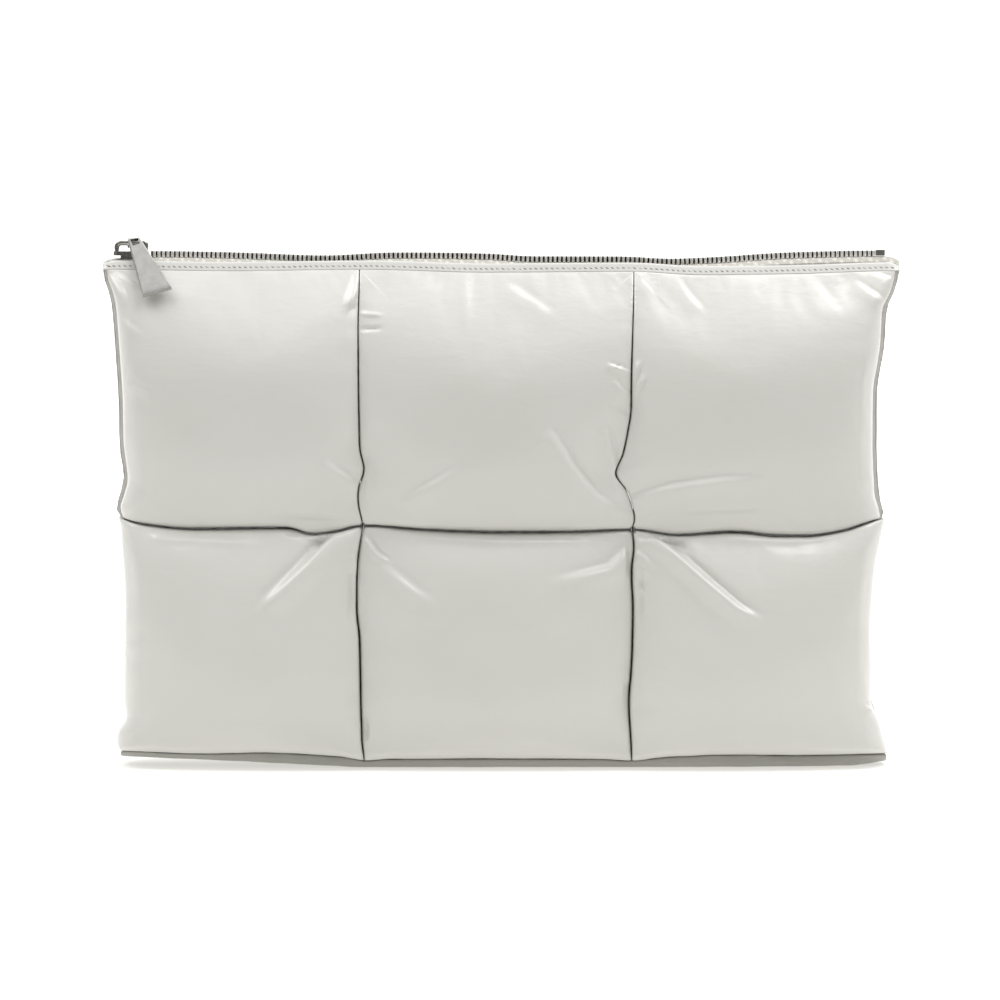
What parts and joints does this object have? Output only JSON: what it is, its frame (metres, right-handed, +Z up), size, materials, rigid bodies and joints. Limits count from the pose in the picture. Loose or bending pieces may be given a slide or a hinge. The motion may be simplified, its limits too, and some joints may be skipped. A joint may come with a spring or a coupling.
{
  "type": "padded leather zip pouch bag",
  "caption": "Flat padded leather pouch bag of puffed squares, with a metal zip along its top and a hanging trapezoid pull tab.",
  "frame": {"origin": "centre of the bounding box's floor, under the bottom fold", "axes": "+X along the zip, towards the end stop; +Y from the front to the back; +Z up"},
  "size_m": [0.3494, 0.0668, 0.2323],
  "materials": {
    "leather": "glossy, softly wrinkled bone-white nappa leather over padding",
    "edge_leather": "folded and stitched bone-white leather edge, a little duller",
    "zip_tape": "white woven zip tape",
    "nickel": "bright nickel-plated zip metal"
  },
  "bodies": {
    "bag": {"front_panel_bottom_left": "leather", "front_panel_bottom_middle": "leather", "front_panel_bottom_right": "leather", "front_panel_top_left": "leather", "front_panel_top_middle": "leather", "front_panel_top_right": "leather", "back_panel_bottom_left": "leather", "back_panel_bottom_middle": "leather", "back_panel_bottom_right": "leather", "back_panel_top_left": "leather", "back_panel_top_middle": "leather", "back_panel_top_right": "leather", "bottom_fold": "edge_leather", "side_seam_left": "edge_leather", "side_seam_right": "edge_leather", "top_binding_front": "edge_leather", "top_binding_back": "edge_leather", "zip_tape_front": "zip_tape", "zip_tape_back": "zip_tape", "zip_chain": "nickel", "zip_end_stop": "nickel", "zip_slider": "nickel"},
    "pull_tab": {"pull_tab": "nickel"}
  },
  "joints": [
    {"name": "pull_tab_swing", "type": "hinge", "parent": "bag", "child": "pull_tab", "pos_m": [-0.16119, 0.00045, 0.22963], "axis": [-1, 0, 0], "range_deg": [0, 200]}
  ]
}
